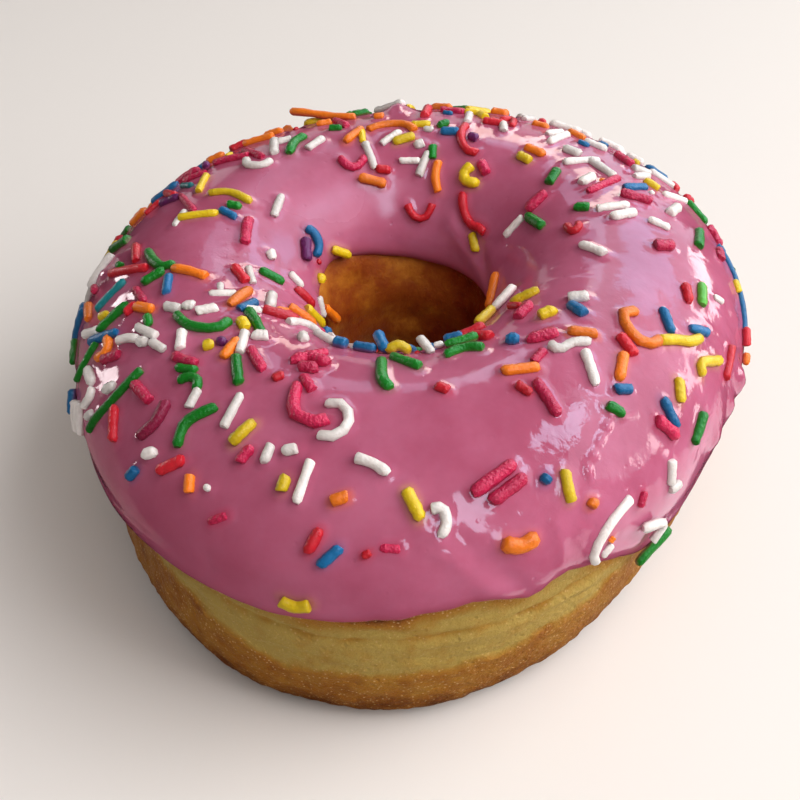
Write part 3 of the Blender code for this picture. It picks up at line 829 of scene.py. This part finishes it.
def smoothPath(points, count):
    # a smooth curve through all the points
    points = np.array(points, dtype=float)
    longer = np.vstack([2 * points[0] - points[1], points, 2 * points[-1] - points[-2]])
    times = np.linspace(0, len(points) - 1, count)
    first = np.minimum(times.astype(int), len(points) - 2)
    share = (times - first)[:, None]
    a, b, c, d = (longer[first + step] for step in range(4))
    return 0.5 * (2 * b + (c - a) * share + (2 * a - 5 * b + 4 * c - d) * share ** 2
                  + (3 * b - a - 3 * c + d) * share ** 3)


def readLine(line, lengths, at):
    # the places on a line at some of its lengths
    return np.stack([np.interp(at, lengths, line[:, axis]) for axis in range(3)], -1)


def layRod(thickness, points):
    # the middle line of a rod and its way up, evenly spaced and short of the ends by the caps
    path = smoothPath([(point + (0,))[:3] for point in points], sprinkles["pathSteps"])
    spots, ups = (np.array(each) for each in zip(*[onIcing(degree, out) for degree, out, lift in path]))
    radius = thickness / 2
    spots = spots + ups * (radius * (1 - 2 * sprinkles["sunk"]) + path[:, 2:])
    if len(points) == 2:                    # a rod with no bend of its own half follows the icing's curve
        straight = spots[0] + (spots[-1] - spots[0]) * np.linspace(0, 1, len(spots))[:, None]
        spots = 0.5 * (spots + straight)
    lengths = np.concatenate([[0], np.cumsum(np.linalg.norm(np.diff(spots, axis=0), axis=1))])
    short = min(0.3 * radius, 0.2 * lengths[-1])
    even = np.linspace(short, lengths[-1] - short, sprinkles["spans"] + 1)
    return readLine(spots, lengths, even), readLine(ups, lengths, even)


def unit(vectors):
    return vectors / np.linalg.norm(vectors, axis=-1, keepdims=True)


def shapeRod(line, ups, radius, pebbleHeight, chance):
    # the mould's points bent along the line, uneven in width, with each end snapped blunt or rounded off
    spans = sprinkles["spans"]
    x, y, z = mould.T
    along = np.clip(z, 0, 1) * spans
    low = np.minimum(along.astype(int), spans - 1)
    share = (along - low)[:, None]
    centre = line[low] + (line[low + 1] - line[low]) * share
    tangents = unit(np.gradient(line, axis=0))
    tangent = unit(tangents[low] + (tangents[low + 1] - tangents[low]) * share)
    side = unit(np.cross(tangent, ups[low]))
    top = np.cross(side, tangent)
    straightLength = np.linalg.norm(line[-1] - line[0])
    uneven = sprinkles["widthUneven"] * min(1, straightLength / sprinkles["widthUnevenFrom"])
    widths = [1 + chance.uniform(-uneven, uneven) for row in range(spans + 1)]
    width = radius * np.interp(along, np.arange(spans + 1), widths)
    push = np.zeros(len(z))
    for end, sign in ((0, -1), (1, 1)):
        blunt = chance.random() < sprinkles["bluntShare"]
        capWidth, least, most = sprinkles["bluntCap" if blunt else "roundCap"]
        capLength = chance.uniform(least, most)
        slantX, slantY = (chance.uniform(-sprinkles["slant"], sprinkles["slant"]) for axis in range(2))
        cap = z < 0 if end == 0 else z > 1
        atEnd = cap | (np.abs(z - end) < 0.001)
        width = np.where(cap, width * capWidth, width)
        push += np.where(cap, sign * capLength * radius, 0)
        push += np.where(atEnd, radius * (slantX * x + slantY * y), 0)
    across = x[:, None] * side + sprinkles["flattened"] * y[:, None] * top
    shaped = centre + width[:, None] * across + push[:, None] * tangent
    pebbles = np.stack([lumps(shaped, sprinkles["pebbleSize"], seed) for seed in (41, 42, 43)], -1)
    return shaped + pebbleHeight * pebbles


def strewRods(chance):
    # strews rods where none lies yet
    rods = []
    names = list(sprinkles["shares"])
    weights = list(sprinkles["shares"].values())
    taken = KDTree(len(lines) * (sprinkles["spans"] + 1))
    for index, spot in enumerate(spot for line in lines for spot in line):
        taken.insert(spot, index)
    taken.balance()
    fresh = []
    for degree, halfWidth, lowOut, highOut, count in sprinkles["strewn"]:
        found = 0
        for attempt in range(count * sprinkles["tries"]):
            if found == count:
                break
            middle = (degree + chance.uniform(-halfWidth, halfWidth), chance.uniform(lowOut, highOut))
            heading = chance.uniform(0, math.pi)
            length = chance.uniform(*sprinkles["length"])
            row = sectionAt(middle[0])
            lowest = holeOut[row] + sprinkles["fromHoleEdge"]
            highest = edgeOut[row] - sprinkles["fromOuterEdge"]
            if not lowest < middle[1] < highest:
                continue
            spot = onIcing(*middle)[0]
            turn = math.degrees(math.cos(heading) * length / 2 / math.hypot(spot[0], spot[1]))
            move = math.sin(heading) * length / 2
            ends = ((middle[0] - turn, middle[1] - move), (middle[0] + turn, middle[1] + move))
            spots = [onIcing(*end)[0] for end in ends] + [spot]
            if any(taken.find(each)[2] < sprinkles["fromLaid"] for each in spots):
                continue
            apart = [np.linalg.norm(each - other) for each in spots for other in fresh]
            if any(distance < sprinkles["fromStrewn"] for distance in apart):
                continue
            fresh.extend(spots)
            found += 1
            colour = chance.choices(names, weights=weights)[0]
            rods.append((colour, chance.uniform(*sprinkles["thickness"]), ends))
    return rods


mould, mouldFaces = rodMould()
rods = [(colour, sprinkles["laidThickness"] * thickness, points)
        for colour, rows in laid.items() for thickness, *points in rows]
lines = [layRod(thickness, points)[0] for colour, thickness, points in rods]
chance = random.Random(sprinkles["seed"])
rods += strewRods(chance)
laidRods = [(colour, thickness) + layRod(thickness, points) for colour, thickness, points in rods]
say(f"{len(rods)} sprinkles laid")

# how far each point of the icing's face is from the nearest rod, and the dye that it takes from that rod
near = KDTree(len(laidRods) * sprinkles["nearSteps"])
spotRods = []
for index, (colour, thickness, line, ups) in enumerate(laidRods):
    steps = np.linspace(0, sprinkles["spans"], sprinkles["nearSteps"])
    for spot in readLine(line, np.arange(len(line)), steps):
        near.insert(spot, len(spotRods))
        spotRods.append(index)
near.balance()
gaps = np.empty(faceOut.shape)
dye = np.zeros(faceOut.shape + (4,))
dyes = {name: linearFromHex(code)[:3] for name, code in sprinkles["colours"].items()}
bled = [chance.uniform(*sprinkles["bled"]) for rod in laidRods]
for row in range(ring["turns"]):
    for column in range(faceOut.shape[1]):
        spot, index, distance = near.find(icingFace[row, column])
        colour, thickness = laidRods[spotRods[index]][:2]
        gap = distance - thickness / 2
        gaps[row, column] = gap
        if gap < sprinkles["farthest"]:
            dye[row, column, :3] = dyes[colour]
            dye[row, column, 3] = sprinkles["bleeds"][colour] * bled[spotRods[index]]
dyeReach = sprinkles["dyeReach"] * (1 + unevenness(basePlaces, sprinkles["dyeUneven"]))
dye[..., 3] *= hump(np.maximum(gaps, 0), dyeReach)

# the icing creeps up each rod, then the face is joined to a plain underside
lift += rise * sprinkles["meniscus"] * hump(gaps, sprinkles["meniscusReach"])
icingFace = alongSkin(skin, faceOut, lift)
underOut = holeOut[:, None] + span * hidden
icingUnder = alongSkin(skin, underOut, 0 * underOut - icing["sink"])
# painted shade: the glaze's colour is darkened on the shaded lower left, just above the outer edge
degree, halfWidth, strength = icing["paintedShade"]
paintedShadeSide = strength * hump(degreesBetween(degrees, degree), halfWidth)[:, None]
paintedShade = paintedShadeSide * (1 - ease(fromEdge, *icing["paintedShadeUpTo"]))
thinEdgeAndShade = 1 - ease(np.minimum(fromEdge, fromHole), *icing["thinEdge"])
hiddenBlank = np.zeros(icingUnder.shape[:2])
# the mark made from these darkens the colour where the glaze is thin and, as painted shade, on the lower left
icingPiece = ringPiece("icing", np.concatenate([icingFace, icingUnder], axis=1), {
    "wrinkle": np.concatenate([wrinkles, hiddenBlank], axis=1),
    "thinEdgeAndShade": np.concatenate([np.maximum(thinEdgeAndShade, paintedShade), hiddenBlank + 1], axis=1),
    "satin": np.concatenate([patch(faceOut, *icing["satin"]), hiddenBlank], axis=1),
    "dye": np.concatenate([dye, np.zeros(hiddenBlank.shape + (4,))], axis=1),
})
say("icing modelled")


def sugarMaterial(name, colour, grainy):
    # Sugar paste under a thin glaze: opaque, a soft waxy shine and a pebbly skin, pink where it is wet.
    material, tree, shader = newMaterial(name, {
        "IOR": 1.45, "Subsurface Weight": 0.12, "Subsurface Radius": (1.0, 0.8, 0.7),
        "Subsurface Scale": 0.6 * mm})
    place = addNode(tree, "TexCoord").outputs["Object"]
    tint = addNode(tree, "Attribute", attribute_name="tint").outputs["Fac"]
    low = addNode(tree, "Attribute", attribute_name="low").outputs["Fac"]
    patches = addNode(tree, "TexNoise", {"Vector": place, "Scale": 1 / (1.3 * mm), "Detail": 3.0})
    amount = addNode(tree, "Math", {0: patches.outputs["Fac"], 1: tint}, operation="ADD")
    shade = addNode(tree, "MapRange", {"Value": amount.outputs[0], "From Min": 0.3, "From Max": 1.6,
                                       "To Min": 0.72, "To Max": 1.12})
    tone = addNode(tree, "HueSaturation", {"Value": shade.outputs[0], "Color": colour})
    wet = addNode(tree, "Mix", {"Factor": low, "A": tone.outputs[0],
                                "B": linearFromHex(sprinkles["wetColour"])}, data_type="RGBA")
    tree.links.new(wet.outputs["Result"], shader.inputs["Base Color"])
    # pebbles of 0.4 mm, which are rough between and shine on top
    pebbles = addNode(tree, "TexNoise", {"Vector": place, "Scale": 1 / (0.42 * mm), "Detail": 2.0})
    bump = addNode(tree, "Bump", {"Height": pebbles.outputs["Fac"], "Strength": 0.8,
                                  "Distance": 0.16 * grainy * mm})
    tree.links.new(bump.outputs[0], shader.inputs["Normal"])
    gloss = addNode(tree, "MapRange", {"Value": pebbles.outputs["Fac"], "From Min": 0.35, "From Max": 0.65,
                                       "To Min": 0.5, "To Max": 0.3})
    tree.links.new(gloss.outputs[0], shader.inputs["Roughness"])
    return material


def sprinklePiece(colour, chosen, chance):
    # one mesh for all the rods of a colour, each with its own tint, and a mark for how low a point lies on it
    grainy = sprinkles["grainy"].get(colour, 1)
    points = []
    faces = []
    tints = []
    lows = []
    for name, thickness, line, ups in chosen:
        start = len(points) * len(mould)
        points.append(shapeRod(line, ups, thickness / 2, sprinkles["pebbleHeight"] * grainy, chance))
        faces.extend([tuple(start + index for index in face) for face in mouldFaces])
        tints.extend([chance.random()] * len(mould))
        lows.extend(0.55 * ease(-mould[:, 1], -0.1, 0.9))
    mesh = bpy.data.meshes.new(colour + "Sprinkles")
    mesh.from_pydata((np.concatenate(points) * mm).tolist(), [], faces)
    piece = bpy.data.objects.new(colour + "Sprinkles", mesh)
    bpy.context.scene.collection.objects.link(piece)
    storeOnPoints(piece, "tint", np.array(tints))
    storeOnPoints(piece, "low", np.array(lows))
    bpy.ops.object.select_all(action="DESELECT")
    piece.select_set(True)
    bpy.context.view_layer.objects.active = piece
    bpy.ops.object.shade_smooth_by_angle(angle=math.radians(50))
    paste = sugarMaterial(colour + "SugarPaste", linearFromHex(sprinkles["colours"][colour]), grainy)
    mesh.materials.append(paste)
    return piece


sprinklePieces = []
for colour in sprinkles["colours"]:
    chosen = [rod for rod in laidRods if rod[0] == colour]
    sprinklePieces.append(sprinklePiece(colour, chosen, chance))
say("sprinkles modelled")


def icingMaterial():
    # Set sugar glaze: a smooth skin that still looks wet, over a milky body that lets a little light through.
    material, tree, shader = newMaterial("pinkSugarGlaze", {
        "IOR": 1.48, "Subsurface Weight": 0.3, "Subsurface Radius": (1.0, 0.3, 0.35),
        "Subsurface Scale": 1.6 * mm})
    place = addNode(tree, "TexCoord").outputs["Object"]
    wrinkle = addNode(tree, "Attribute", attribute_name="wrinkle").outputs["Fac"]
    thinEdgeAndShade = addNode(tree, "Attribute", attribute_name="thinEdgeAndShade").outputs["Fac"]
    satin = addNode(tree, "Attribute", attribute_name="satin").outputs["Fac"]
    dye = addNode(tree, "Attribute", attribute_name="dye")
    # cloudy colour in 9 mm swells with a finer mottle, darker at thin edges and in painted shade, dyed round
    # rods
    clouds = addNode(tree, "TexNoise", {"Vector": place, "Scale": 1 / (9 * mm), "Detail": 4.0,
                                        "Roughness": 0.6})
    body = addNode(tree, "ValToRGB", {"Fac": clouds.outputs["Fac"]}, icing["clouds"])
    # the darker edge colour, for thin glaze and for painted shade on the shaded lower left
    edge = addNode(tree, "Mix", {"Factor": thinEdgeAndShade, "A": body.outputs[0],
                                 "B": linearFromHex(icing["thinEdgeAndShadeColour"])}, data_type="RGBA")
    dyed = addNode(tree, "Mix", {"Factor": dye.outputs["Alpha"], "A": edge.outputs["Result"],
                                 "B": dye.outputs["Color"]}, data_type="RGBA")
    tree.links.new(dyed.outputs["Result"], shader.inputs["Base Color"])
    # the skin: slow waves everywhere, fine wrinkles where it dried first, and a few pinholes
    slow = addNode(tree, "TexNoise", {"Vector": place, "Scale": 1 / (2.6 * mm), "Detail": 2.0})
    fine = addNode(tree, "TexNoise", {"Vector": place, "Scale": 1 / (0.8 * mm), "Detail": 3.0,
                                      "Distortion": 0.6})
    folds = addNode(tree, "TexNoise", {"Vector": place, "Scale": 1 / (2.4 * mm), "Detail": 3.0,
                                       "Distortion": 1.2})
    middle = addNode(tree, "Math", {0: folds.outputs["Fac"], 1: 0.5}, operation="SUBTRACT")
    ridge = addNode(tree, "Math", {0: middle.outputs[0]}, operation="ABSOLUTE")
    both = addNode(tree, "Math", {0: ridge.outputs[0], 1: 2.5, 2: fine.outputs["Fac"]},
                   operation="MULTIPLY_ADD")
    fineHeight = addNode(tree, "Math", {0: both.outputs[0], 1: wrinkle}, operation="MULTIPLY")
    height = addNode(tree, "Math", {0: slow.outputs["Fac"], 1: fineHeight.outputs[0]}, operation="ADD")
    cells = addNode(tree, "TexVoronoi", {"Vector": place, "Scale": 1 / (2.4 * mm)})
    pinholes = addNode(tree, "MapRange", {"Value": cells.outputs["Distance"], "From Min": 0.05,
                                          "From Max": 0.12, "To Min": -0.6, "To Max": 0.0})
    total = addNode(tree, "Math", {0: height.outputs[0], 1: pinholes.outputs[0]}, operation="ADD")
    bump = addNode(tree, "Bump", {"Height": total.outputs[0], "Strength": 0.2, "Distance": 0.16 * mm})
    tree.links.new(bump.outputs[0], shader.inputs["Normal"])
    wettest, driest = icing["glossy"]
    gloss = addNode(tree, "MapRange", {"Value": clouds.outputs["Fac"], "From Min": 0.35, "From Max": 0.7,
                                       "To Min": wettest, "To Max": driest})
    roughness = addNode(tree, "Math", {0: satin, 1: icing["satinRoughness"], 2: gloss.outputs[0]},
                        operation="MULTIPLY_ADD")
    tree.links.new(roughness.outputs[0], shader.inputs["Roughness"])
    return material


def doughMaterial():
    # Fried yeast dough: dull crumb skin with pores, oily glints and painted glint specks in the crust, pale
    # where no oil reached.
    material, tree, shader = newMaterial("friedYeastDough", {
        "IOR": 1.4, "Specular IOR Level": 0.4, "Subsurface Weight": 0.08,
        "Subsurface Radius": (1.0, 0.5, 0.2), "Subsurface Scale": 1.0 * mm})
    place = addNode(tree, "TexCoord").outputs["Object"]
    bake = addNode(tree, "Attribute", attribute_name="bake").outputs["Fac"]
    oily = addNode(tree, "Attribute", attribute_name="oily").outputs["Fac"]
    # colour by bake, in blotches of 3.5 mm
    blotches = addNode(tree, "TexNoise", {"Vector": place, "Scale": 1 / (3.5 * mm), "Detail": 5.0,
                                          "Roughness": 0.62})
    uneven = addNode(tree, "MapRange", {"Value": blotches.outputs["Fac"], "From Min": 0.3, "From Max": 0.7,
                                        "To Min": -0.17, "To Max": 0.17})
    baked = addNode(tree, "Math", {0: bake, 1: uneven.outputs[0]}, operation="ADD")
    dryCrust = addNode(tree, "ValToRGB", {"Fac": baked.outputs[0]}, dough["dryColours"])
    # the dark red end of the oily colours is painted shade and a painted pink reflection on the hole's shaded
    # wall
    oilyAndShadedCrust = addNode(tree, "ValToRGB", {"Fac": baked.outputs[0]}, dough["oilyAndShadedColours"])
    crust = addNode(tree, "Mix", {"Factor": oily, "A": dryCrust.outputs[0], "B": oilyAndShadedCrust.outputs[0]},
                    data_type="RGBA")
    # light specks where the crust is baked and dry: painted glints
    specks = addNode(tree, "TexVoronoi", {"Vector": place, "Scale": 1 / (0.6 * mm)})
    speck = addNode(tree, "MapRange", {"Value": specks.outputs["Distance"], "From Min": 0.12,
                                       "From Max": 0.26, "To Min": 1.0, "To Max": 0.0})
    dry = addNode(tree, "Math", {0: bake, 1: oily}, operation="SUBTRACT")
    glintAmount = addNode(tree, "MapRange", {"Value": dry.outputs[0], "From Min": -0.3, "From Max": 0.5,
                                        "To Min": 0.0, "To Max": 0.8})
    glintShare = addNode(tree, "Math", {0: speck.outputs[0], 1: glintAmount.outputs[0]}, operation="MULTIPLY")
    # painted glints: the specks lighten the base colour where a glint would shine
    glintSpecked = addNode(tree, "Mix", {"Factor": glintShare.outputs[0], "A": crust.outputs["Result"],
                                   "B": linearFromHex(dough["glintSpeckColour"])}, data_type="RGBA")
    tree.links.new(glintSpecked.outputs["Result"], shader.inputs["Base Color"])
    # crumb of 0.7 mm with pores, and grit that grows with the bake; smoother where the oil ran
    crumb = addNode(tree, "TexNoise", {"Vector": place, "Scale": 1 / (0.7 * mm), "Detail": 5.0,
                                       "Roughness": 0.65})
    pores = addNode(tree, "TexVoronoi", {"Vector": place, "Scale": 1 / (1.5 * mm)})
    pits = addNode(tree, "MapRange", {"Value": pores.outputs["Distance"], "From Min": 0.05, "From Max": 0.25,
                                      "To Min": -0.45, "To Max": 0.0})
    grit = addNode(tree, "TexNoise", {"Vector": place, "Scale": 1 / (0.32 * mm), "Detail": 3.0})
    gritty = addNode(tree, "Math", {0: grit.outputs["Fac"], 1: baked.outputs[0]}, operation="MULTIPLY")
    rough = addNode(tree, "Math", {0: crumb.outputs["Fac"], 1: pits.outputs[0]}, operation="ADD")
    height = addNode(tree, "Math", {0: rough.outputs[0], 1: gritty.outputs[0]}, operation="ADD")
    strength = addNode(tree, "MapRange", {"Value": oily, "To Min": 1.0, "To Max": 0.3})
    bump = addNode(tree, "Bump", {"Height": height.outputs[0], "Strength": strength.outputs[0],
                                  "Distance": 0.4 * mm})
    tree.links.new(bump.outputs[0], shader.inputs["Normal"])
    gloss = addNode(tree, "MapRange", {"Value": bake, "From Min": 0.3, "From Max": 0.9,
                                       "To Min": 0.62, "To Max": 0.42})
    tree.links.new(gloss.outputs[0], shader.inputs["Roughness"])
    return material


icingPiece.data.materials.append(icingMaterial())
doughRing.data.materials.append(doughMaterial())

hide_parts("dough_ring")
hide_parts("frosting")
for piece in [doughRing, icingPiece] + sprinklePieces:
    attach(piece, "root")
say("pieces joined to the frame")


# The studio is a pale floor, a soft key from the right and a fill from the front, which aren't reflected.
# What is reflected is a room: the glow of its walls, its windows, and the light a table sends up to the rim.
studio = {
    "floorColour": "#ECEBEA",
    "floorSize": 4000,
    "floorDrop": 0.1,           # how far it lies under the dough
    "worldColour": "#FFF6EE",
    "worldStrength": 0.27,
    "distance": 600,
    "aim": (0, 0, 24),
    # azimuth from +Y towards +X, elevation, width, height, watts, colour
    "lamps": {"key": (98, 40, 640, 640, 5.2, "#FFFAF6"),
              "fill": (165, 56, 500, 500, 0.9, "#FFF4EE")},
    "reflected": {"roomGlow": (60, 33, 1200, 690, 5.2, "#DCEEFF"),
                  "lowGlow": (72, 8, 560, 130, 1.4, "#FFF0EC"),
                  "leftGlow": (-58, 7, 260, 110, 0.8, "#FFF4F4"),
                  "backGlow": (-5, 8, 420, 200, 0.25, "#FFF0F4"),
                  "backWindow": (42, 36, 370, 190, 0.66, "#8CCBFF"),
                  "farWindow": (13, 29, 185, 180, 0.6, "#FFEEDC"),
                  "leftWindow": (-2, 45, 170, 100, 0.12, "#C8DCFF"),
                  "sideWindow": (88, 58, 150, 125, 0.45, "#B8E0FF"),
                  "frontWindow": (153, 54, 130, 320, 1.0, "#D0E8FF"),
                  "tableGlow": (94, -37, 560, 440, 1.15, "#FFF0F4"),
                  "leftTableGlow": (-62, -25, 450, 400, 0.15, "#FFD8D0")},
}


def addLight(name, azimuth, elevation, width, height, watts, colour):
    around = math.radians(azimuth)
    above = math.radians(elevation)
    flat = math.cos(above)
    direction = Vector((math.sin(around) * flat, math.cos(around) * flat, math.sin(above)))
    light = bpy.data.lights.new(name, "AREA")
    light.shape = "RECTANGLE"
    light.size = width * mm
    light.size_y = height * mm
    light.energy = watts
    light.color = linearFromHex(colour)[:3]
    lamp = bpy.data.objects.new(name, light)
    bpy.context.scene.collection.objects.link(lamp)
    lamp.location = (Vector(studio["aim"]) + direction * studio["distance"]) * mm
    lamp.rotation_euler = direction.to_track_quat("Z", "Y").to_euler()
    lamp.visible_glossy = name in studio["reflected"]
    lamp.visible_diffuse = name in studio["lamps"]


for name, settings in {**studio["lamps"], **studio["reflected"]}.items():
    addLight(name, *settings)

bpy.ops.object.select_all(action="DESELECT")
bpy.ops.mesh.primitive_plane_add(size=studio["floorSize"] * mm, location=(0, 0, -studio["floorDrop"] * mm))
floor = bpy.context.object
floor.name = "floor"
floor.visible_glossy = False    # so that the table glows below it can be reflected
floor.data.materials.append(newMaterial("paleStudioFloor", {
    "Base Color": linearFromHex(studio["floorColour"]), "Roughness": 0.9, "Specular IOR Level": 0.0})[0])

world = bpy.data.worlds.new("studioWorld")
world.use_nodes = True
world.cycles_visibility.glossy = False
background = world.node_tree.nodes["Background"]
background.inputs["Color"].default_value = linearFromHex(studio["worldColour"])
background.inputs["Strength"].default_value = studio["worldStrength"]
bpy.context.scene.world = world
bpy.context.scene.view_settings.view_transform = "Standard"

camera = {
    "place": (-1.41, -137.9, 137.3),
    "lookDown": 41.39,          # degrees below the horizon
    "turn": -0.14,              # degrees to the right
    "nod": -0.29,               # degrees up
    "roll": -2.18,
    "lens": 60.87,
    "sensor": 36,
    "nearest": 10,              # nothing closer than this is drawn
}
cameraData = bpy.data.cameras.new("camera")
cameraData.lens = camera["lens"]
cameraData.sensor_width = camera["sensor"]
cameraData.clip_start = camera["nearest"] * mm
cameraObject = bpy.data.objects.new("camera", cameraData)
bpy.context.scene.collection.objects.link(cameraObject)
down = math.radians(camera["lookDown"])
ahead = Vector((0, math.cos(down), -math.sin(down)))
rightward = Vector((1, 0, 0))
upward = rightward.cross(ahead)
turn = math.tan(math.radians(camera["turn"]))
nod = math.tan(math.radians(camera["nod"]))
ahead = ahead + turn * rightward + nod * upward
level = (-ahead).to_track_quat("Z", "Y").to_matrix()
cameraObject.location = Vector(camera["place"]) * mm
cameraObject.rotation_euler = (level @ Matrix.Rotation(math.radians(camera["roll"]), 3, "Z")).to_euler()
bpy.context.scene.camera = cameraObject
say("camera and lights set")
